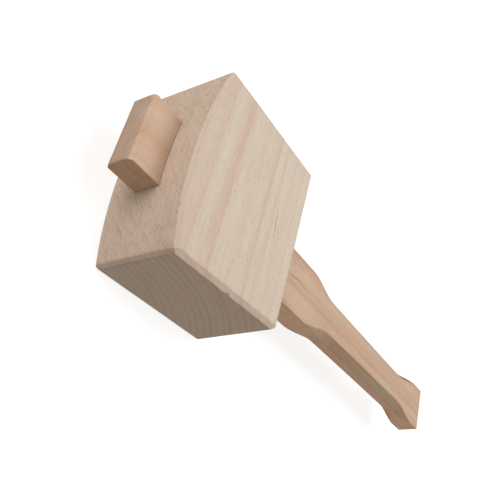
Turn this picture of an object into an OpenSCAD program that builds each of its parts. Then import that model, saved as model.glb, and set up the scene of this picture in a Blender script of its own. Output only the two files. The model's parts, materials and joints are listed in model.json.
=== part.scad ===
// Joiner's mallet in beech, lying on its back cheek.
// +X runs along the handle from the head to the pommel, +Y is the striking
// direction, and +Z is up, square to the two cheeks. The origin is the centre
// of the cheek that the mallet lies on. The handle drops in through the
// curved top of the head and is held by the taper of its through mortise.

/* [Head] */
// Length between the striking faces, at the corners of the curved top
head_len_top = 148; // [140:1:160]
// Length between the striking faces, at the underside
head_len_bottom = 133.4; // [120:0.2:138]
// Height of a striking face, along the handle
head_height = 103.6; // [95:0.2:115]
// Thickness between the two cheeks
head_thick = 68; // [60:1:76]
// Rise of the curved top above its two corners
crown_rise = 10; // [5:0.5:14]
// Leg of the bevel along the edges of the curved top and of the underside
head_bevel = 2.4; // [1:0.1:4]
// Leg of the bevel along the edges between a striking face and a cheek
face_bevel = 3; // [1:0.1:4]
// Leg of the bevel on the two edges between a striking face and the underside
underside_bevel = 3; // [1:0.1:4]

/* [Handle] */
// Length that stands proud of the middle of the curved top
proud_len = 26; // [15:0.5:40]
// Length from the underside of the head to the end of the pommel
below_len = 254; // [230:0.5:280]
// Width of the tapered blank at its top end
blank_w_top = 54.4; // [50:0.1:58]
// Width of the tapered blank at the pommel end
blank_w_end = 37.6; // [34:0.1:40]
// Thickness at the top end
thick_top = 21.2; // [19:0.1:24]
// Thickness at the pommel end
thick_end = 18; // [15:0.1:19]
// Leg of the bevel along the two long edges of the top end
top_bevel = 2.8; // [1:0.1:4]
// Leg of the bevel along the two short edges of the top end
top_arris = 0.8; // [0.4:0.1:2]
// Leg of the bevel around the pommel end
pommel_bevel = 1.6; // [0.5:0.1:3]
// Gap between the handle and the walls of the mortise
mortise_gap = 0.15; // [0.05:0.01:0.3]

/* [Grip] */
// Length of full-width shoulder below the head
shoulder_len = 56; // [50:1:62]
// Length of the rounded shoulder that leads down to the grip
shoulder_curve = 30; // [24:1:40]
// Width of the grip, next to the shoulder
grip_w_shoulder = 38.6; // [36:0.1:40]
// Width of the grip, next to the pommel
grip_w_pommel = 34; // [30:0.1:35]
// Length of straight board at the pommel
pommel_len = 20; // [16:0.5:26]
// Length of the curve from the grip out to the pommel
pommel_curve = 18; // [14:1:30]
// Leg of the stopped chamfers along the grip
grip_chamfer = 5.5; // [3:0.1:6]
// Distance from the head to the start of the stopped chamfers
chamfer_from = 52; // [50:1:66]
// Distance from the pommel end to the end of the stopped chamfers
chamfer_to = 12; // [9:0.5:20]
// Length over which a stopped chamfer runs in, at the shoulder
chamfer_run_in = 31; // [20:1:36]
// Length over which a stopped chamfer runs out, at the pommel
chamfer_run_out = 24; // [20:1:34]

/* [Hidden] */
$fn = 180;

head_colour = "#d9c5b1";
handle_colour = "#cfb299";
curve_steps = 12;
// How the four curves bend: 1 is a straight ramp, and a higher power leaves the board more gently
shoulder_power = 1.8;
pommel_power = 1.7;
run_in_power = 1.9;
run_out_power = 1.35;
// Longer than any cut has to be
reach = 300;
// How far a cut runs past the face it opens in
overrun = 1;

// Head
head_top_x = -head_height / 2;
head_bottom_x = head_height / 2;
crown_r = (pow(head_len_top / 2, 2) + pow(crown_rise, 2)) / (2 * crown_rise);
crown_centre_x = head_top_x - crown_rise + crown_r;
crown_corner_angle = asin(head_len_top / 2 / crown_r);
face_slope = atan((head_len_top - head_len_bottom) / 2 / head_height);
face_mid_y = (head_len_top + head_len_bottom) / 4;
top_corner_angle = 90 - face_slope + crown_corner_angle;
top_corner_out = 90 - face_slope + (180 - top_corner_angle) / 2;
bottom_corner_angle = 90 + face_slope;
bottom_corner_out = (90 - face_slope) / 2;

// Handle
mid_z = head_thick / 2;
handle_top_x = head_top_x - crown_rise - proud_len;
handle_end_x = head_bottom_x + below_len;
shoulder_x = head_bottom_x + shoulder_len;
grip_start_x = shoulder_x + shoulder_curve;
pommel_x = handle_end_x - pommel_len;
grip_end_x = pommel_x - pommel_curve;

// A value that runs evenly from a, at the top end of the handle, to b at the pommel end
function along(x, a, b) = a + (b - a) * (x - handle_top_x) / (handle_end_x - handle_top_x);
function blank_half(x) = along(x, blank_w_top, blank_w_end) / 2;
function thick_half(x) = along(x, thick_top, thick_end) / 2;

function reversed(points) = [for (i = [len(points) - 1:-1:0]) points[i]];

// Points of a rounded shoulder, which leaves [x0, y0] level and meets [x1, y1] in a corner
function dip(x0, y0, x1, y1, power) = [
    for (i = [0:curve_steps])
        let (t = i / curve_steps)
        [x0 + (x1 - x0) * t, y0 + (y1 - y0) * pow(t, power)]
];

// The same shoulder, in the order that runs from its corner to its level end
function rise(x0, y0, x1, y1, power) = reversed(dip(x1, y1, x0, y0, power));

// A half outline's mirror image, in the order that closes the outline
function flipped(points) = [for (p = reversed(points)) [p[0], -p[1]]];

// Half of the handle's outline, seen square to the cheeks, from the top end to the pommel
handle_side = concat(
    [
        [handle_top_x, blank_half(handle_top_x) - top_arris],
        [handle_top_x + top_arris, blank_half(handle_top_x + top_arris)]
    ],
    dip(shoulder_x, blank_half(shoulder_x), grip_start_x, grip_w_shoulder / 2, shoulder_power),
    rise(grip_end_x, grip_w_pommel / 2, pommel_x, blank_half(pommel_x), pommel_power),
    [
        [handle_end_x - pommel_bevel, blank_half(handle_end_x - pommel_bevel)],
        [handle_end_x, blank_half(handle_end_x) - pommel_bevel]
    ]
);

// Half of the handle's outline, seen square to the striking direction
handle_edge = [
    [handle_top_x, thick_half(handle_top_x) - top_bevel],
    [handle_top_x + top_bevel, thick_half(handle_top_x + top_bevel)],
    [handle_end_x - pommel_bevel, thick_half(handle_end_x - pommel_bevel)],
    [handle_end_x, thick_half(handle_end_x) - pommel_bevel]
];

// Stopped chamfers, at 45 degrees along the four long edges of the grip. Depths are
// distances from the handle's axis, square to the chamfer. Both ends of the cut lie this
// far clear of the wood, so that it crosses the edge at a definite angle.
chamfer_lead = 0.3;
chamfer_start_x = head_bottom_x + chamfer_from;
chamfer_full_x = chamfer_start_x + chamfer_run_in;
chamfer_end_x = handle_end_x - chamfer_to;
chamfer_fade_x = chamfer_end_x - chamfer_run_out;
function corner_depth(x) = (blank_half(x) + thick_half(x)) / sqrt(2);
function flat_depth(x, grip_half) = (grip_half + thick_half(x) - grip_chamfer) / sqrt(2);

chamfer_cut = concat(
    dip(chamfer_start_x, corner_depth(chamfer_start_x) + chamfer_lead,
        chamfer_full_x, flat_depth(chamfer_full_x, grip_w_shoulder / 2), run_in_power),
    rise(chamfer_fade_x, flat_depth(chamfer_fade_x, grip_w_pommel / 2),
         chamfer_end_x, corner_depth(chamfer_end_x) + chamfer_lead, run_out_power),
    [
        [chamfer_end_x, reach],
        [chamfer_start_x, reach]
    ]
);

// A slab with its outer face at x = 0 and its two outer edges bevelled by the given leg
module bevelled_side(leg) {
    rotate([90, 0, 0])
        linear_extrude(height = reach, center = true)
            polygon([
                [-reach, 0],
                [-leg, 0],
                [0, leg],
                [0, head_thick - leg],
                [-leg, head_thick],
                [-reach, head_thick]
            ]);
}

// The slab whose outer face is the striking face on the +Y side (1) or the -Y side (-1)
module striking_face(side) {
    translate([0, side * face_mid_y, 0])
        rotate([0, 0, side * (90 - face_slope)])
            bevelled_side(face_bevel);
}

// The round disc whose rim is the curved top, with both edges of the rim bevelled
module crown_disc() {
    translate([crown_centre_x, 0, 0])
        rotate_extrude()
            polygon([
                [0, 0],
                [crown_r - head_bevel, 0],
                [crown_r, head_bevel],
                [crown_r, head_thick - head_bevel],
                [crown_r - head_bevel, head_thick],
                [0, head_thick]
            ]);
}

// Takes off the corner at [x, y], square to the direction out, with a bevel of the given leg
module corner_bevel(x, y, out, inner_angle, leg) {
    depth = leg * cos(inner_angle / 2);
    translate([x, y, 0])
        rotate([0, 0, out])
            translate([-depth, -reach / 2, -overrun])
                cube([reach, reach, head_thick + 2 * overrun]);
}

// A board cut to a side outline and to an edge outline, each given as the half on one side
// of its centre line
module board(side, edge) {
    intersection() {
        linear_extrude(height = head_thick)
            polygon(concat(side, flipped(side)));
        translate([0, 0, mid_z])
            rotate([90, 0, 0])
                linear_extrude(height = reach, center = true)
                    polygon(concat(edge, flipped(edge)));
    }
}

// The tapered hole through the head, from above the crown to below the underside
module mortise() {
    from_x = head_top_x - crown_rise - overrun;
    to_x = head_bottom_x + overrun;
    board(
        [for (x = [from_x, to_x]) [x, blank_half(x) + mortise_gap]],
        [for (x = [from_x, to_x]) [x, thick_half(x) + mortise_gap]]
    );
}

module head() {
    color(head_colour)
        difference() {
            intersection() {
                crown_disc();
                translate([head_bottom_x, 0, 0])
                    bevelled_side(head_bevel);
                striking_face(1);
                striking_face(-1);
            }
            for (side = [1, -1]) {
                corner_bevel(head_top_x, side * head_len_top / 2,
                             side * top_corner_out, top_corner_angle, head_bevel);
                corner_bevel(head_bottom_x, side * head_len_bottom / 2,
                             side * bottom_corner_out, bottom_corner_angle, underside_bevel);
            }
            mortise();
        }
}

module handle() {
    color(handle_colour)
        difference() {
            board(handle_side, handle_edge);
            for (turn = [45:90:315])
                translate([0, 0, mid_z])
                    rotate([turn, 0, 0])
                        linear_extrude(height = reach, center = true)
                            polygon(chamfer_cut);
        }
}

head();
handle();
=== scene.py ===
import json
import math

import bpy
import numpy as np
from mathutils import Matrix, Vector


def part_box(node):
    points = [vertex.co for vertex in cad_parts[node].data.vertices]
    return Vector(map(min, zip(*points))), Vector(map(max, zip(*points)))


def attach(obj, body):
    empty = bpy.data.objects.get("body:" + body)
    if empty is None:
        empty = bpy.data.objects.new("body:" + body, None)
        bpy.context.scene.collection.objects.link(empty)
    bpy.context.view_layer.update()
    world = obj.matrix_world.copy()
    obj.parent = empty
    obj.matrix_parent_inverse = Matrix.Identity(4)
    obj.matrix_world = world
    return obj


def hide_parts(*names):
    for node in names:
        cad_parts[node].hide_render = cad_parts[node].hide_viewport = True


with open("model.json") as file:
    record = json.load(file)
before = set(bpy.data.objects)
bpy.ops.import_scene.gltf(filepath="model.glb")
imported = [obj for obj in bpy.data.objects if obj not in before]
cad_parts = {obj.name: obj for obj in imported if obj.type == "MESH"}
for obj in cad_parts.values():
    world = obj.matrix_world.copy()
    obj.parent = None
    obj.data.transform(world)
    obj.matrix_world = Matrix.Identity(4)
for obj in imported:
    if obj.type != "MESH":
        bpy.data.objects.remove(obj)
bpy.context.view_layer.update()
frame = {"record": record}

# A joiner's mallet in beech, lying on its back cheek: +X from the head to the pommel, +Y the
# striking direction, +Z up. The mallet's lengths are in millimetres until its meshes are made.
# The floor, the lights and the camera's clipping are in metres.
MM = 0.001

# ---------------------------------------------------------------------------------------
# Sizes: the boxes and faces come from the frame, the rest repeats the design's own values
# ---------------------------------------------------------------------------------------
mounts = {mount["name"]: mount for mount in frame["record"]["mounts"]}
head_low, head_high = [np.array(corner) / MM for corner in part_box("head")]
handle_low, handle_high = [np.array(corner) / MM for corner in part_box("handle")]

CROWN_RISE = 10.0
CROWN_CHORD = 148.0
HEAD_BEVEL = 2.4
FACE_BEVEL = 3.0
UNDERSIDE_BEVEL = 3.0
MORTISE_GAP = 0.15
BLANK_W_TOP, BLANK_W_END = 54.4, 37.6
THICK_TOP, THICK_END = 21.2, 18.0
TOP_BEVEL = 2.8
TOP_ARRIS = 0.8
POMMEL_BEVEL = 1.6

head_thick = head_high[2] - head_low[2]
mid_z = (head_high[2] + head_low[2]) / 2
head_bottom = head_high[0]
crown_apex = head_low[0]
crown_radius = ((CROWN_CHORD / 2) ** 2 + CROWN_RISE**2) / (2 * CROWN_RISE)
crown_centre = crown_apex + crown_radius
face_mount = mounts["striking_face_left"]
face_normal = np.array(face_mount["axis"])
face_offset = float(face_normal @ np.array(face_mount["pos_m"])) / MM
face_slope = math.asin(face_normal[0])

handle_top = handle_low[0]
handle_end = handle_high[0]

# The grip is sunk below the tapered blank: its half width at both ends, where the curve down to
# it starts, where it reaches the grip, and the same at the pommel
GRIP_HALF_SHOULDER, GRIP_HALF_POMMEL = 19.3, 17.0
shoulder = head_bottom + 56.0
grip_start = head_bottom + 86.0
grip_end = handle_end - 38.0
pommel = handle_end - 20.0

# The stopped chamfers: half width of the flat between them, and the same four places
CHAMFER_LEG = 5.5
FLAT_HALF_SHOULDER = GRIP_HALF_SHOULDER - CHAMFER_LEG
FLAT_HALF_POMMEL = GRIP_HALF_POMMEL - CHAMFER_LEG
chamfer_start = head_bottom + 52.0
chamfer_full = head_bottom + 83.0
chamfer_fade = handle_end - 36.0
chamfer_end = handle_end - 12.0

# How the curves bend at the shoulder and at the pommel: 1 is a straight ramp, and a higher power
# leaves the board more gently
GRIP_POWERS = (1.8, 1.7)
CHAMFER_POWERS = (1.9, 1.35)


def along(x, top, end):
    """A value that runs evenly from the top end of the handle to the pommel end."""
    return top + (end - top) * (x - handle_top) / (handle_end - handle_top)


def blank_half(x):
    return along(x, BLANK_W_TOP, BLANK_W_END) / 2


def thick_half(x):
    return along(x, THICK_TOP, THICK_END) / 2


def face_half(x):
    """Half the head's length between its striking faces, at x."""
    return (face_offset - face_normal[0] * x) / face_normal[1]


# ---------------------------------------------------------------------------------------
# Surfaces as fields: a field is the distance outside the wood, below zero inside it
# ---------------------------------------------------------------------------------------
RIGHT_ANGLE = math.pi / 2
EASE = 0.11  # how softly two surfaces meet
GRIP_EASE = 0.22  # how softly the curves meet the grip
CHAMFER_EASE = 1.5  # how softly the stops of the chamfers meet their straight part
WEAR_REACH = 0.9  # how far from an arris handling has darkened the wood
HEAD_WANDER = 0.16  # how far the head's bevels stray from their leg
TOP_WANDER = 0.2  # the same for the top end of the handle
LONG_ARRIS = 0.45  # leg of the bevel on the handle's long edges, where they have no chamfer
GRIP_BOW = 0.35  # how much faster the grip narrows next to the shoulder
CHAMFER_CLEAR = 0.35  # how much wider than the board the flat is where there is no chamfer


def smooth_max(values, ease):
    values = np.stack(values)
    top = values.max(axis=0)
    return top + ease * np.log(np.exp((values - top) / ease).sum(axis=0))


def bevel(first, second, leg, turn=RIGHT_ANGLE):
    """The flat that takes off the edge of two surfaces, whose outward directions are turn apart."""
    return (first + second) / (2 * math.cos(turn / 2)) + leg * math.sin(turn / 2)


def smooth_step(value, start, end):
    t = np.clip((value - start) / (end - start), 0, 1)
    return (1 - np.cos(math.pi * t)) / 2


def wander(points, length, seed):
    """A slow, even wander between -1 and 1, for edges that were bevelled by hand."""
    phases = np.random.default_rng(seed).uniform(0, 2 * math.pi, (3, 3))
    total = 0
    for axis in range(3):
        for step, phase in enumerate(phases[axis]):
            wave = length / (1 + 0.7 * step)
            total = total + np.sin(points[:, axis] * 2 * math.pi / wave + phase)
    return total / phases.size


def dents(points, marks):
    """How much small knocks take off. A mark is a place, a size along each axis and a depth."""
    total = 0
    for place, size, depth in marks:
        away = (points - np.array(place)) / np.array(size)
        total = total + depth * np.exp(-(away**2).sum(axis=1))
    return total


face_at = -face_half(2.0)  # y of a striking face, at the knock in the edge of the upper cheek
HEAD_DENTS = [
    ((1.0, face_at, 65.2), (1.1, 0.8, 0.9), 0.45),
    ((4.6, face_at, 65.6), (2.4, 0.7, 0.6), 0.2),
    ((-30.0, face_half(-30.0), 2.0), (2.2, 1.0, 1.0), 0.45),
    ((51.0, 40.0, 66.8), (0.8, 1.8, 0.8), 0.4),
    ((34.0, face_half(34.0), 66.5), (1.5, 0.8, 0.8), 0.35),
]


def head_surfaces(points, ease=EASE):
    x, y, z = points.T
    side = np.abs(y)
    leg = HEAD_BEVEL + HEAD_WANDER * wander(points, length=70, seed=3)
    crown = np.hypot(x - crown_centre, y) - crown_radius
    underside = x - head_bottom
    face = x * face_normal[0] + side * face_normal[1] - face_offset
    cheek = np.abs(z - mid_z) - head_thick / 2
    crown_corner = RIGHT_ANGLE + face_slope - math.asin(CROWN_CHORD / 2 / crown_radius)
    return smooth_max(
        [
            crown,
            underside,
            face,
            cheek,
            bevel(crown, cheek, leg),
            bevel(underside, cheek, leg),
            bevel(face, cheek, leg + FACE_BEVEL - HEAD_BEVEL),
            bevel(crown, face, leg, crown_corner),
            bevel(underside, face, UNDERSIDE_BEVEL, RIGHT_ANGLE - face_slope),
        ],
        ease,
    )


def head_field(points):
    x, y, z = points.T
    wall = np.abs(y) - blank_half(x) - MORTISE_GAP
    roof = np.abs(z - mid_z) - thick_half(x) - MORTISE_GAP
    hole = np.maximum(wall, roof)
    outside = head_surfaces(points) + dents(points, HEAD_DENTS)
    return smooth_max([outside, -hole], EASE)


def smooth_grip(x):
    """How far x lies along the grip. The grip narrows faster next to the shoulder."""
    t = np.clip((x - grip_start) / (grip_end - grip_start), 0, 1)
    return t + GRIP_BOW * t * (1 - t)


def sunk(x, level, floor, stations, powers, ease):
    """A level that dips to a floor between the stations start, full, fade and end. Each dip leaves
    the level gently and meets the floor in a tighter corner, which ease rounds."""
    start, full, fade, end = stations
    drop = level - floor
    into = np.maximum((x - start) / (full - start), 0) ** powers[0]
    out = np.maximum((end - x) / (end - fade), 0) ** powers[1]
    return smooth_max([level - drop * into, level - drop * out, floor], ease)


def side_half(x):
    """Half the handle's width, seen square to the cheeks."""
    grip = GRIP_HALF_SHOULDER + (GRIP_HALF_POMMEL - GRIP_HALF_SHOULDER) * smooth_grip(x)
    stations = (shoulder, grip_start, grip_end, pommel)
    return sunk(x, blank_half(x), grip, stations, GRIP_POWERS, GRIP_EASE)


def flat_half(x):
    """Half the width of the flat between two chamfers, or a little more than the board's own half
    width where there are none."""
    inside = FLAT_HALF_SHOULDER + (FLAT_HALF_POMMEL - FLAT_HALF_SHOULDER) * smooth_grip(x)
    stations = (chamfer_start, chamfer_full, chamfer_fade, chamfer_end)
    return sunk(x, blank_half(x) + CHAMFER_CLEAR, inside, stations, CHAMFER_POWERS, CHAMFER_EASE)


def chamfer_leg(x):
    """How far a chamfer cuts into the side of the handle, or 0 where there is none."""
    return np.maximum(side_half(x) - flat_half(x), 0)


HANDLE_DENTS = [
    ((handle_top + 0.6, BLANK_W_TOP / 2 - 0.8, mid_z - 3.0), (0.9, 0.9, 1.3), 0.8),
    ((handle_top + 1.5, -BLANK_W_TOP / 2 + 0.6, mid_z + 3.5), (0.8, 0.8, 1.0), 0.35),
    ((handle_end - 0.8, BLANK_W_END / 2 - 0.8, mid_z + 5.0), (0.9, 0.9, 1.2), 0.4),
]


def chamfer_field(points):
    """The field of the four chamfers alone."""
    x, y, z = points.T
    return (np.abs(y) + np.abs(z - mid_z) - flat_half(x) - thick_half(x)) / math.sqrt(2)


def handle_field(points, ease=EASE):
    x, y, z = points.T
    side = np.abs(y) - side_half(x)
    edge = np.abs(z - mid_z) - thick_half(x)
    top = handle_top - x
    end = x - handle_end
    chamfer = chamfer_field(points)
    top_leg = TOP_BEVEL + TOP_WANDER * wander(points, length=40, seed=5)
    surfaces = [
        side,
        edge,
        top,
        end,
        chamfer,
        bevel(side, edge, LONG_ARRIS),
        bevel(top, side, TOP_ARRIS),
        bevel(top, edge, top_leg),
        bevel(end, side, POMMEL_BEVEL),
        bevel(end, edge, POMMEL_BEVEL),
    ]
    return smooth_max(surfaces, ease) + dents(points, HANDLE_DENTS)


# ---------------------------------------------------------------------------------------
# Meshes: the skin of a box of cells, stretched over the piece and then drawn onto its field
# ---------------------------------------------------------------------------------------
GRID = 3.2  # spacing of grid lines away from edges
HOLE_GRID = 9.6  # the same across the width of the mortise, where there is no wood
LENGTH_GRID = 2.6  # the same along the handle
THIN_GRID = 1.6  # the same through the handle's thickness
LEAST_CELL = 0.14  # a grid line nearer than this to the one before is left out
ROUNDS = 8  # how many times a point is moved towards its surface
SLOPE_STEP = 0.005  # how far to each side of a point its field's slope is measured
LEAST_SLOPE = 0.3  # floor for the square of a slope, so that no point is thrown far off
LEAST_CUT = 0.9  # room for the chamfers' grid lines where there is no chamfer
CHAMFER_MASK = (-0.30, -0.05)  # values of the chamfers' field where their mask starts and is full

# Grid lines, as distances: from where a bevel meets its face, from the walls of the mortise,
# from the top end of the handle, and from the inner edge of a chamfer
BEVEL_LINES = np.array([-1.0, -0.5, 0, 0.25, 0.6, 1.6])
MORTISE_LINES = np.array([0, 0.25, 0.7, 2.0])
ARRIS_LINES = np.array([0, TOP_ARRIS / 2, TOP_ARRIS, TOP_ARRIS + 0.3])
CHAMFER_LINES = np.array([0, 0.4, 1.1, 2.2, 3.4, CHAMFER_LEG - 0.7, CHAMFER_LEG])
BEFORE_CHAMFER = 0.4  # how far before a chamfer the last grid line of its flat lies
KNOCK_LINES = np.linspace(-1.0, 7.0, 13)  # places along x, over the knock in the head's edge
STOP_REACH, STOP_GRID = 5, 0.6  # finer lines, this far round where a curve ends in a corner


def skin(solid):
    """Grid points and quads of the surface of the solid cells."""
    padded = np.pad(solid, 1)
    quads = []
    for axis in range(3):
        for side in (1, -1):
            beyond = np.roll(padded, -side, axis)[1:-1, 1:-1, 1:-1]
            cells = np.argwhere(solid & ~beyond)
            ring = []
            for first, second in ((0, 0), (1, 0), (1, 1), (0, 1))[::side]:
                offset = np.zeros(3, int)
                offset[axis] = (side + 1) // 2
                offset[(axis + 1) % 3] = first
                offset[(axis + 2) % 3] = second
                ring.append(cells + offset)
            quads.append(np.stack(ring, axis=1))
    quads = np.concatenate(quads)
    points, index = np.unique(quads.reshape(-1, 3), axis=0, return_inverse=True)
    return points, index.reshape(-1, 4)


def edge_lines(leg):
    """Distances from a bevelled edge at which grid lines lie, close together where the bevel meets
    the face."""
    return np.concatenate([[0], leg + BEVEL_LINES])


def spread(start, end, spacing):
    """Even grid lines strictly between start and end."""
    count = max(2, round(abs(end - start) / spacing) + 1)
    return np.linspace(start, end, count)[1:-1]


def span(start, end, near, far, spacing):
    """Grid lines from start to end, with the given lines near each of them."""
    low = start + near
    high = end - far[::-1]
    return np.concatenate([low, spread(low[-1], high[0], spacing), high])


def mirrored(half):
    """Lines on both sides of zero, from the lines on one side. A line at zero isn't doubled."""
    return np.unique(np.concatenate([-half, half]))


def merged(*groups):
    """Grid lines of several groups in order, without those that nearly repeat the one before, so
    that no cell is a sliver."""
    lines = np.unique(np.concatenate(groups))
    return lines[np.diff(lines, prepend=-np.inf) > LEAST_CELL]


def stretch(lines, stations, places):
    """Moves lines, given between nominal stations, to where those stations are at each point."""
    size = np.abs(lines)
    moved = np.zeros_like(size)
    for low, high, place_low, place_high in zip(stations, stations[1:], places, places[1:]):
        share = np.clip((size - low) / (high - low), 0, 1)
        moved = moved + share * (place_high - place_low)
    return np.sign(lines) * moved


def slope_of(field, points):
    """The field's slope along each axis, at each point."""
    slopes = []
    for axis in np.eye(3):
        ahead = field(points + SLOPE_STEP * axis)
        behind = field(points - SLOPE_STEP * axis)
        slopes.append((ahead - behind) / (2 * SLOPE_STEP))
    return np.stack(slopes, axis=1)


def drawn_onto(points, field):
    """Moves each point along the field's slope until it lies on the surface."""
    for _ in range(ROUNDS):
        value = field(points)
        slope = slope_of(field, points)
        steep = np.maximum((slope**2).sum(axis=1), LEAST_SLOPE)
        points = points - slope * (value / steep)[:, None]
    return points


def make_piece(name, points, quads, masks, material):
    """One smooth mesh, with each mask as a value at its vertices."""
    mesh = bpy.data.meshes.new(name)
    mesh.from_pydata((points * MM).tolist(), [], quads.tolist())
    mesh.polygons.foreach_set("use_smooth", np.ones(len(quads), bool))
    for mask, values in masks.items():
        layer = mesh.attributes.new(mask, "FLOAT", "POINT")
        layer.data.foreach_set("value", values.astype(np.float32))
    mesh.materials.append(material)
    mesh.update()
    piece = bpy.data.objects.new(name, mesh)
    bpy.context.scene.collection.objects.link(piece)
    return piece


def arris_wear(points, field):
    """1 on an arris, falling to 0 a little way off it. Where two surfaces meet, a smooth field is
    higher than either of them, by its ease times the logarithm of 2."""
    full = WEAR_REACH * math.log(2)
    return np.clip((field(points, WEAR_REACH) - field(points)) / full, 0, 1)


def solid_cells(x_lines, y_lines, z_lines):
    """A box of cells between the grid lines, all of them wood."""
    return np.ones((len(x_lines) - 1, len(y_lines) - 1, len(z_lines) - 1), bool)


def half_lines(flat, spacing):
    """Grid lines from the middle of the handle over half a flat and the chamfer beside it."""
    before = flat - BEFORE_CHAMFER
    return np.concatenate([spread(0, before, spacing), [before], flat + CHAMFER_LINES])


def head_mesh():
    near = edge_lines(HEAD_BEVEL)
    near_face = merged(near, edge_lines(FACE_BEVEL))
    wall_half = blank_half(0) + MORTISE_GAP
    roof_half = thick_half(0) + MORTISE_GAP
    outer_half = face_half(0)
    x_lines = merged(span(crown_apex, head_bottom, near, near, GRID), KNOCK_LINES)
    y_half = span(wall_half, outer_half, MORTISE_LINES, near_face, GRID)
    z_half = span(roof_half, head_thick / 2, MORTISE_LINES, near_face, GRID)
    y_lines = mirrored(np.concatenate([spread(0, wall_half, HOLE_GRID), y_half]))
    z_lines = mirrored(np.concatenate([spread(0, roof_half, GRID), z_half]))
    solid = solid_cells(x_lines, y_lines, z_lines)
    in_wall = np.abs((y_lines[1:] + y_lines[:-1]) / 2) < wall_half
    in_roof = np.abs((z_lines[1:] + z_lines[:-1]) / 2) < roof_half
    solid[:, in_wall[:, None] & in_roof[None, :]] = False
    grid, quads = skin(solid)
    x = x_lines[grid[:, 0]]
    y = stretch(
        y_lines[grid[:, 1]],
        [0, wall_half, outer_half],
        [0, blank_half(x) + MORTISE_GAP, face_half(x)],
    )
    z = mid_z + stretch(
        z_lines[grid[:, 2]],
        [0, roof_half, head_thick / 2],
        [0, thick_half(x) + MORTISE_GAP, head_thick / 2],
    )
    crown_x = crown_centre - np.sqrt(crown_radius**2 - y**2)
    x = head_bottom - (head_bottom - x) * (head_bottom - crown_x) / (head_bottom - crown_apex)
    points = drawn_onto(np.stack([x, y, z], axis=1), head_field)
    return points, quads, {"wear": arris_wear(points, head_surfaces)}


def handle_mesh():
    near_end = edge_lines(POMMEL_BEVEL)
    near_top = merged(ARRIS_LINES, edge_lines(TOP_BEVEL)[1:])
    corners = (chamfer_full, chamfer_fade, grip_end)
    stops = [spread(place - STOP_REACH, place + STOP_REACH, STOP_GRID) for place in corners]
    x_lines = merged(span(handle_top, handle_end, near_top, near_end, LENGTH_GRID), *stops)
    side_flat = FLAT_HALF_SHOULDER
    edge_flat = thick_half(grip_start) - CHAMFER_LEG
    y_lines = mirrored(half_lines(side_flat, GRID))
    z_lines = mirrored(half_lines(edge_flat, THIN_GRID))
    grid, quads = skin(solid_cells(x_lines, y_lines, z_lines))
    x = x_lines[grid[:, 0]]
    cut = np.maximum(chamfer_leg(x), LEAST_CUT)
    y = stretch(
        y_lines[grid[:, 1]],
        [0, side_flat, side_flat + CHAMFER_LEG],
        [0, side_half(x) - cut, side_half(x)],
    )
    z = mid_z + stretch(
        z_lines[grid[:, 2]],
        [0, edge_flat, edge_flat + CHAMFER_LEG],
        [0, thick_half(x) - cut, thick_half(x)],
    )
    points = drawn_onto(np.stack([x, y, z], axis=1), handle_field)
    chamfer = smooth_step(chamfer_field(points), *CHAMFER_MASK)
    return points, quads, {"wear": arris_wear(points, handle_field), "chamfer": chamfer}


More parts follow.
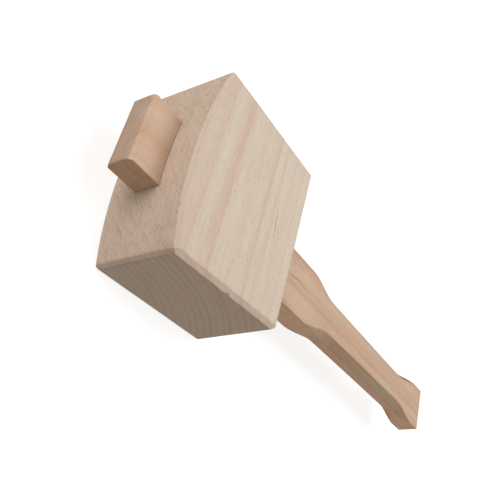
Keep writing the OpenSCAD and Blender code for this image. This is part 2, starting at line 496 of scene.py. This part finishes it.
# ---------------------------------------------------------------------------------------
# Wood: one solid pattern of growth rings, fibres and rays, cut by whichever face shows it
# ---------------------------------------------------------------------------------------
class Shader:
    """A material and short ways to add its nodes."""

    def __init__(self, name):
        self.material = bpy.data.materials.new(name)
        self.material.use_nodes = True
        self.tree = self.material.node_tree
        self.surface = self.tree.nodes["Principled BSDF"]

    def feed(self, socket, value):
        """Links a node's output to the socket, or sets the socket to a value."""
        if isinstance(value, bpy.types.NodeSocket):
            self.tree.links.new(value, socket)
        else:
            socket.default_value = value

    def node(self, kind, values=(), **settings):
        made = self.tree.nodes.new(kind)
        for name, value in settings.items():
            setattr(made, name, value)
        for socket, value in values:
            self.feed(made.inputs[socket], value)
        return made

    def math(self, operation, *values, clamp=False):
        kind = "ShaderNodeMath"
        return self.node(kind, enumerate(values), operation=operation, use_clamp=clamp).outputs[0]

    def vector(self, operation, *values, out=0):
        kind = "ShaderNodeVectorMath"
        return self.node(kind, enumerate(values), operation=operation).outputs[out]

    def length(self, vector):
        return self.vector("LENGTH", vector, out="Value")

    def product(self, *values):
        """All the values multiplied together, from the left."""
        made = values[0]
        for value in values[1:]:
            made = self.math("MULTIPLY", made, value)
        return made

    def combine(self, x, y, z):
        return self.node("ShaderNodeCombineXYZ", enumerate((x, y, z))).outputs[0]

    def separate(self, vector):
        return self.node("ShaderNodeSeparateXYZ", [(0, vector)]).outputs

    def noise(self, vector, size, detail=2.0, roughness=0.5, out="Fac"):
        """Noise whose grains measure about size millimetres along each axis."""
        scaled = self.vector("DIVIDE", vector, size)
        values = [("Vector", scaled), ("Scale", 1.0), ("Detail", detail), ("Roughness", roughness)]
        return self.node("ShaderNodeTexNoise", values).outputs[out]

    def grains(self, vector, size, reach):
        """Scattered long grains, each with its own strength up to 1, and 0 between them. A grain
        starts to fade at about a third of its reach, which is a share of its cell."""
        scaled = self.vector("DIVIDE", vector, size)
        values = [("Vector", scaled), ("Scale", 1.0), ("Randomness", 1.0)]
        cell = self.node("ShaderNodeTexVoronoi", values)
        strength = self.separate(cell.outputs["Color"])[0]
        inside = self.rise(cell.outputs["Distance"], reach, reach * 0.35)
        return self.math("MULTIPLY", inside, strength)

    def rise(self, value, start, end):
        """0 before start and 1 after end, smoothly between. It falls if end is below start."""
        if end < start:
            return self.math("SUBTRACT", 1.0, self.rise(value, end, start))
        values = [("Value", value), ("From Min", start), ("From Max", end)]
        return self.node("ShaderNodeMapRange", values, interpolation_type="SMOOTHSTEP").outputs[0]

    def mix(self, factor, first, second, blend="MIX"):
        """Two colours mixed. The numbers are those of the node's factor and colour sockets."""
        made = self.node("ShaderNodeMix", data_type="RGBA", blend_type=blend)
        self.feed(made.inputs[0], factor)
        self.feed(made.inputs[6], first)
        self.feed(made.inputs[7], second)
        return made.outputs[2]

    def attribute(self, name):
        return self.node("ShaderNodeAttribute", attribute_name=name).outputs["Fac"]

    def shade(self, share, tone, tint):
        """The tone times a tint, in the given share."""
        return self.mix(share, tone, tint, "MULTIPLY")

    def hump(self, value, centre, width):
        """1 at centre, falling to 0 about two widths away."""
        away = self.math("DIVIDE", self.math("SUBTRACT", value, centre), width)
        return self.math("EXPONENT", self.math("MULTIPLY", self.math("MULTIPLY", away, away), -1.0))


def colour(red, green, blue):
    """A colour given as it shows on a screen, 0 to 255, as the linear colour a shader takes."""
    shown = np.array([red, green, blue]) / 255
    linear = np.where(shown <= 0.04045, shown / 12.92, ((shown + 0.055) / 1.055) ** 2.4)
    return (*linear.tolist(), 1.0)


# Sizes of the wood's patterns: round the pith, along the grain, and out from the pith. The sway,
# which bends the tree itself, is sized across the board, along it and through it
SWAY_SIZE = (70, 420, 70)
WOBBLE_SIZE = (40, 420, 14)
PORE_SIZE = (0.5, 5.0, 0.5)
MOTTLE_SIZE = (16, 150, 11)
BLOTCH_SIZE = (22, 5.0, 12)
DASH_SIZE = (0.85, 3.8, 4.0)
FLECK_SIZE = (2.4, 1.25, 7.0)
WOBBLE = 0.25  # how far a growth ring strays, in rings
BAND_END = 0.25  # length over which a single dark ring ends
DASH_REACH, FLECK_REACH = 0.40, 0.42
WHITE = (1.0, 1.0, 1.0, 1.0)

# How much each pattern adds to the roughness, and to the height of the relief in millimetres
FIBRE_ROUGH, RUB_ROUGH, END_ROUGH = 0.22, -0.10, 0.10
FIBRE_HEIGHT, PORE_HEIGHT, DASH_HEIGHT, RING_HEIGHT = -0.05, -0.035, -0.03, 0.02
RELIEF = 0.5
WOOD_SHINE = 0.3


def wood(name, look, swap_axes):
    """Solid beech. In wood space x runs across the board, y along the grain and z through it."""
    shader = Shader(name)
    coords = shader.node("ShaderNodeTexCoord")
    place = shader.vector("SCALE", coords.outputs["Object"])
    place.node.inputs["Scale"].default_value = 1 / MM
    normal = shader.separate(coords.outputs["Normal"])
    facing_end = normal[1]
    if swap_axes:
        x, y, z = shader.separate(place)
        place = shader.combine(y, x, z)
        facing_end = normal[0]

    # The tree's own axes: round the pith, along the grain, and out from the pith
    sway = shader.noise(place, SWAY_SIZE, 1.0, 0.5, "Color")
    sway = shader.vector("MULTIPLY", shader.vector("SUBTRACT", sway, (0.5, 0.5, 0.5)), look["sway"])
    tree = shader.vector("SUBTRACT", shader.vector("ADD", place, sway), look["pith"])
    tx, ty, tz = shader.separate(tree)
    radius = shader.length(shader.combine(tx, 0.0, tz))
    turn = shader.math("ARCTAN2", tx, tz)
    arc = shader.math("MULTIPLY", turn, look["radius"])
    slant = shader.math("ADD", ty, shader.math("MULTIPLY", radius, look["ray_slant"]))
    grain = shader.combine(arc, ty, radius)
    ray_grain = shader.combine(arc, slant, radius)

    # Growth rings: a slow darkening outwards and a sharp end, each ring with its own strength
    wobble = shader.noise(grain, WOBBLE_SIZE, 3.0, 0.6)
    rings = shader.math("DIVIDE", radius, look["ring"])
    ring = shader.math("ADD", rings, shader.math("MULTIPLY", wobble, WOBBLE))
    late = shader.math("FRACT", ring)
    number = shader.math("FLOOR", ring)
    ring_noise = shader.node("ShaderNodeTexWhiteNoise", [("W", number)], noise_dimensions="1D")
    late_wood = shader.product(shader.rise(late, 0.45, 0.92), shader.rise(late, 1.0, 0.94))
    ring_tone = shader.product(late_wood, shader.math("ADD", ring_noise.outputs["Value"], 0.35))

    # How squarely the surface cuts the grain. A face square to z counts as flat-sawn, and any
    # other face along the grain as quarter-sawn
    end_grain = shader.rise(shader.math("ABSOLUTE", facing_end), 0.75, 0.98)
    flat_sawn = shader.rise(shader.math("ABSOLUTE", normal[2]), 0.45, 0.9)
    quarter_sawn = shader.math("SUBTRACT", 1.0, shader.math("MAXIMUM", flat_sawn, end_grain))

    # Fibres, fine pores and rays: short dashes on a flat-sawn face, slanting flecks on a
    # quarter-sawn one
    fibre = shader.noise(grain, look["fibre"], 3.0, 0.6)
    pores = shader.noise(grain, PORE_SIZE, 2.0, 0.7)
    mottle = shader.noise(grain, MOTTLE_SIZE, 3.0, 0.55)
    blotch = shader.noise(ray_grain, BLOTCH_SIZE, 4.0, 0.62)
    dashes = shader.product(shader.grains(grain, DASH_SIZE, DASH_REACH), flat_sawn)
    flecks = shader.product(shader.grains(ray_grain, FLECK_SIZE, FLECK_REACH), quarter_sawn)

    # Colour: the wood and its rings, then a few darker rings that rise slowly and end sharply,
    # then the figure, the fibres, the pores, the rays and the end grain
    tone = shader.mix(shader.rise(mottle, 0.3, 0.72), look["pale"], look["warm"])
    ring_show = shader.math("MULTIPLY_ADD", end_grain, look["end_rings"], look["ring_strength"])
    tone = shader.mix(shader.math("MULTIPLY", ring_tone, ring_show, clamp=True), tone, look["late"])
    for last, width, strength in look["bands"]:
        rising = shader.rise(radius, last - width, last)
        band = shader.product(rising, shader.rise(radius, last + BAND_END, last))
        uneven = shader.math("ADD", 0.55, shader.product(mottle, 0.9))
        share = shader.math("MULTIPLY", shader.product(band, uneven), strength, clamp=True)
        tone = shader.mix(share, tone, look["band"])
    tone = shader.shade(quarter_sawn, tone, look["quarter"])
    figure = shader.product(shader.rise(blotch, 0.40, 0.66), quarter_sawn, look["figure"])
    tone = shader.mix(figure, tone, look["band"])
    streaks = shader.product(shader.rise(fibre, 0.42, 0.78), look["streaks"])
    tone = shader.shade(streaks, tone, look["streak"])
    light_streaks = shader.product(shader.rise(fibre, 0.5, 0.2), look["light_streaks"])
    tone = shader.mix(light_streaks, tone, WHITE, "SCREEN")
    fine = shader.product(shader.rise(pores, 0.55, 0.8), look["pores"])
    tone = shader.shade(fine, tone, look["streak"])
    tone = shader.mix(shader.product(dashes, look["dashes"]), tone, look["ray"])
    tone = shader.mix(shader.product(flecks, look["flecks"]), tone, look["ray"])
    tone = shader.shade(end_grain, tone, look["end"])
    if look["chamfer"]:
        tone = grip_tone(shader, place, tone, look)
    for mark in look["marks"]:
        tone = shader.mix(mark(shader, place), tone, look["mark"])
    wear = shader.attribute("wear")
    rub = shader.product(shader.rise(wear, 0.2, 0.95), shader.rise(mottle, 0.2, 0.8))
    tone = shader.shade(shader.product(rub, look["rub"]), tone, look["worn"])
    shader.feed(shader.surface.inputs["Base Color"], tone)

    # Roughness and relief
    rough = shader.math("MULTIPLY_ADD", fibre, FIBRE_ROUGH, look["roughness"])
    rough = shader.math("MULTIPLY_ADD", rub, RUB_ROUGH, rough)
    rough = shader.math("MULTIPLY_ADD", end_grain, END_ROUGH, rough, clamp=True)
    shader.feed(shader.surface.inputs["Roughness"], rough)
    height = shader.product(fibre, FIBRE_HEIGHT)
    height = shader.math("MULTIPLY_ADD", pores, PORE_HEIGHT, height)
    height = shader.math("MULTIPLY_ADD", dashes, DASH_HEIGHT, height)
    height = shader.math("MULTIPLY_ADD", late_wood, RING_HEIGHT, height)
    values = [("Strength", RELIEF), ("Distance", MM), ("Height", height)]
    relief = shader.node("ShaderNodeBump", values)
    shader.feed(shader.surface.inputs["Normal"], relief.outputs["Normal"])
    shader.surface.inputs["Specular IOR Level"].default_value = WOOD_SHINE
    return shader.material


def grip_tone(shader, place, tone, look):
    """The grip is a little darker than the shoulder, and its chamfers darker again. Where they
    start, at the shoulder, the chamfers are lighter and a little green."""
    mask = shader.attribute("chamfer")
    along_handle = shader.separate(place)[1]
    started = shader.rise(along_handle, chamfer_start + 20, chamfer_full + 36)
    shade = shader.mix(started, look["chamfer_start"], look["chamfer"])
    # The grip is tinted a little darker from the shoulder onwards
    past_shoulder = shader.rise(along_handle, shoulder - 10, chamfer_full)
    tone = shader.shade(past_shoulder, tone, look["grip_tint"])
    return shader.shade(mask, tone, shade)


def shake_line(shader, place):
    """A hairline shake in the upper cheek, running a little across the grain."""
    slope, start, width, half_length, strength = -0.13, 25.0, 0.34, 13.5, 0.75
    x, y, z = shader.separate(place)
    jitter = shader.math("MULTIPLY_ADD", shader.noise(place, (6, 3.2, 6), 1.0), 3.0, -1.5)
    line = shader.math("MULTIPLY_ADD", y, slope, start)
    away = shader.math("SUBTRACT", x, shader.math("ADD", line, jitter))
    thin = shader.hump(away, 0.0, width)
    ends = shader.hump(y, 0.0, half_length)
    upper = shader.rise(z, 58.0, 64.0)
    breaks = shader.rise(shader.noise(place, (30, 3.0, 30), 2.0), 0.40, 0.52)
    along_it = shader.product(ends, shader.product(upper, breaks))
    return shader.product(thin, along_it, strength)


def knock_mark(shader, place):
    """A dark spot in the knock on the edge of the upper cheek."""
    centre_of_knock, size, strength = (1.0, face_at + 0.6, 65.0), (1.3, 1.3, 1.1), 0.6
    away = shader.vector("SUBTRACT", place, centre_of_knock)
    away = shader.vector("DIVIDE", away, size)
    return shader.product(shader.hump(shader.length(away), 0.0, 0.8), strength)


def red_streak(shader, place):
    """A reddish streak in the shoulder of the handle."""
    across, along_board, width, half_length, strength = 2.4, 90.0, 0.8, 17.0, 0.55
    x, y, _ = shader.separate(place)
    jitter = shader.math("MULTIPLY_ADD", shader.noise(place, (5, 12, 5), 2.0), 3.4, -1.7)
    away = shader.math("SUBTRACT", x, shader.math("ADD", across, jitter))
    ends = shader.hump(y, along_board, half_length)
    return shader.product(shader.hump(away, 0.0, width), ends, strength)


# The two boards. pith is where the middle of the tree lies, radius a usual distance from it and
# ring the width of a growth ring, in millimetres in wood space. A band is the radius where a dark
# ring ends, its width and its strength. pale and warm are the wood's own colours. streak, end,
# quarter, worn, chamfer, handled and chamfer_start are tints that it is multiplied by, and the
# other colours replace it in part.
HEAD_LOOK = {
    "pith": (-71.0, 0.0, -121.0),
    "radius": 190.0,
    "ring": 4.8,
    "sway": (2.2, 0.0, 0.7),
    "ray_slant": 1.25,
    "fibre": (1.5, 26.0, 1.1),
    "pale": colour(207, 194, 179),
    "warm": colour(204, 188, 172),
    "late": colour(194, 173, 156),
    "band": colour(199, 169, 153),
    "streak": colour(226, 216, 206),
    "ray": colour(156, 126, 106),
    "end": colour(217, 211, 208),
    "quarter": colour(255, 250, 245),
    "mark": colour(84, 62, 48),
    "worn": colour(226, 216, 206),
    "chamfer": None,
    "ring_strength": 0.35,
    "end_rings": 0.3,
    "figure": 0.6,
    "streaks": 0.22,
    "light_streaks": 0.06,
    "pores": 0.16,
    "dashes": 0.42,
    "flecks": 0.8,
    "rub": 0.30,
    "roughness": 0.52,
    "bands": [(206.0, 1.3, 0.7), (194.8, 3.4, 0.65), (190.8, 1.6, 0.45)],
    "marks": [shake_line, knock_mark],
}

HANDLE_LOOK = {
    "pith": (62.0, 0.0, -48.0),
    "radius": 100.0,
    "ring": 5.0,
    "sway": (2.5, 0.0, 1.2),
    "ray_slant": 0.25,
    "fibre": (1.2, 30.0, 0.9),
    "pale": colour(205, 179, 156),
    "warm": colour(198, 166, 142),
    "late": colour(184, 152, 128),
    "band": colour(184, 146, 122),
    "streak": colour(222, 208, 196),
    "ray": colour(142, 110, 88),
    "end": colour(239, 240, 244),
    "quarter": colour(255, 248, 241),
    "mark": colour(160, 104, 80),
    "worn": colour(220, 206, 192),
    "chamfer": colour(201, 199, 190),
    "grip_tint": colour(245, 244, 243),
    "chamfer_start": colour(215, 223, 209),
    "ring_strength": 0.26,
    "end_rings": 0.2,
    "figure": 0.4,
    "streaks": 0.24,
    "light_streaks": 0.08,
    "pores": 0.18,
    "dashes": 0.3,
    "flecks": 0.2,
    "rub": 0.35,
    "roughness": 0.46,
    "bands": [(113.2, 2.6, 0.35), (125.5, 3.2, 0.3)],
    "marks": [red_streak],
}

head_wood = wood("head_beech", HEAD_LOOK, swap_axes=False)
handle_wood = wood("handle_beech", HANDLE_LOOK, swap_axes=True)

head_block = make_piece("head_block", *head_mesh(), head_wood)
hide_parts("head")
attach(head_block, "head")

handle_bar = make_piece("handle_bar", *handle_mesh(), handle_wood)
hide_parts("handle")
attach(handle_bar, "handle")


# ---------------------------------------------------------------------------------------
# Floor, light and camera
# ---------------------------------------------------------------------------------------
def make_floor():
    """A round floor of white paper that curves up into a wall, seen by the camera alone, so that
    it lights nothing. It glows a little, as a lit backdrop does."""
    flat_radius, bend_radius, wall_height = 2.6, 0.9, 3.2
    around, bend_steps = 96, 12
    below = -0.1 * MM
    dim, bright, glow = (0.42, 0.425, 0.43, 1.0), (0.44, 0.445, 0.45, 1.0), 0.75
    profile = [(flat_radius, below)]
    for step in range(1, bend_steps + 1):
        angle = RIGHT_ANGLE * step / bend_steps
        out = flat_radius + bend_radius * math.sin(angle)
        profile.append((out, below + bend_radius * (1 - math.cos(angle))))
    profile.append((flat_radius + bend_radius, wall_height))
    points = [(0.0, 0.0, below)]
    for radius, height in profile:
        for step in range(around):
            angle = 2 * math.pi * step / around
            points.append((radius * math.cos(angle), radius * math.sin(angle), height))
    faces = [(0, 1 + step, 1 + (step + 1) % around) for step in range(around)]
    for ring in range(len(profile) - 1):
        start = 1 + ring * around
        for step in range(around):
            first = start + step
            second = start + (step + 1) % around
            faces.append((first, first + around, second + around, second))
    mesh = bpy.data.meshes.new("floor")
    mesh.from_pydata(points, [], faces)
    mesh.polygons.foreach_set("use_smooth", np.ones(len(faces), bool))
    shader = Shader("floor_paper")
    coords = shader.node("ShaderNodeTexCoord").outputs["Object"]
    cloud = shader.node("ShaderNodeTexNoise", [("Vector", coords), ("Scale", 3.0)]).outputs["Fac"]
    paper = shader.mix(cloud, dim, bright)
    shader.feed(shader.surface.inputs["Base Color"], paper)
    shader.surface.inputs["Roughness"].default_value = 0.9
    shader.surface.inputs["Specular IOR Level"].default_value = 0.1
    shader.surface.inputs["Emission Color"].default_value = WHITE
    shader.surface.inputs["Emission Strength"].default_value = glow
    mesh.materials.append(shader.material)
    floor = bpy.data.objects.new("floor", mesh)
    floor.visible_diffuse = False
    floor.visible_glossy = False
    floor.visible_transmission = False
    floor.visible_shadow = False
    bpy.context.scene.collection.objects.link(floor)


def soft_light(name, place, target, size, power):
    """A square soft box at place, in metres, that faces the target."""
    light = bpy.data.lights.new(name, "AREA")
    light.size = size
    light.energy = power
    lamp = bpy.data.objects.new(name, light)
    lamp.location = place
    lamp.rotation_euler = (Vector(target) - Vector(place)).to_track_quat("-Z", "Y").to_euler()
    bpy.context.scene.collection.objects.link(lamp)


def make_world(tint, strength):
    world = bpy.data.worlds.new("studio")
    world.use_nodes = True
    background = world.node_tree.nodes["Background"]
    background.inputs["Color"].default_value = tint
    background.inputs["Strength"].default_value = strength
    bpy.context.scene.world = world


def make_camera():
    """A longish lens, from beyond the crown and above it, rolled so that the handle runs down to
    the right. Its place is in millimetres."""
    lens, sensor = 57.21, 36.0
    place = Vector((-301.75, -307.33, 358.45)) * MM
    forward = Vector((0.6115, 0.5433, -0.5752)).normalized()
    right = Vector((0.5566, 0.2212, 0.8008))
    right = (right - right.dot(forward) * forward).normalized()
    up = right.cross(forward)
    data = bpy.data.cameras.new("camera")
    data.lens = lens
    data.sensor_width = sensor
    data.clip_start = 0.01
    data.clip_end = 50
    camera = bpy.data.objects.new("camera", data)
    turned = Matrix((right, up, -forward)).transposed().to_4x4()
    camera.matrix_world = Matrix.Translation(place) @ turned
    bpy.context.scene.collection.objects.link(camera)
    bpy.context.scene.camera = camera


# Soft boxes: each one's name, its place from the mallet's middle and its size in metres, and its
# power in watts
SOFT_BOXES = [
    ("key", (0.35, 0.35, 1.5), 1.1, 14.2),
    ("fill", (-1.55, 0.55, 0.5), 1.2, 15.0),
    ("side", (1.0, -0.9, 0.3), 0.9, 5.0),
]
WORLD_TINT, WORLD_STRENGTH = (1.0, 0.93, 0.84, 1.0), 0.42

centre = Vector(((handle_top + handle_end) / 2, 0, mid_z)) * MM
make_floor()
for light_name, offset, light_size, light_power in SOFT_BOXES:
    soft_light(light_name, centre + Vector(offset), centre, light_size, light_power)
make_world(WORLD_TINT, WORLD_STRENGTH)
make_camera()

scene = bpy.context.scene
scene.view_settings.view_transform = "Standard"
scene.view_settings.look = "None"

bpy.context.view_layer.update()
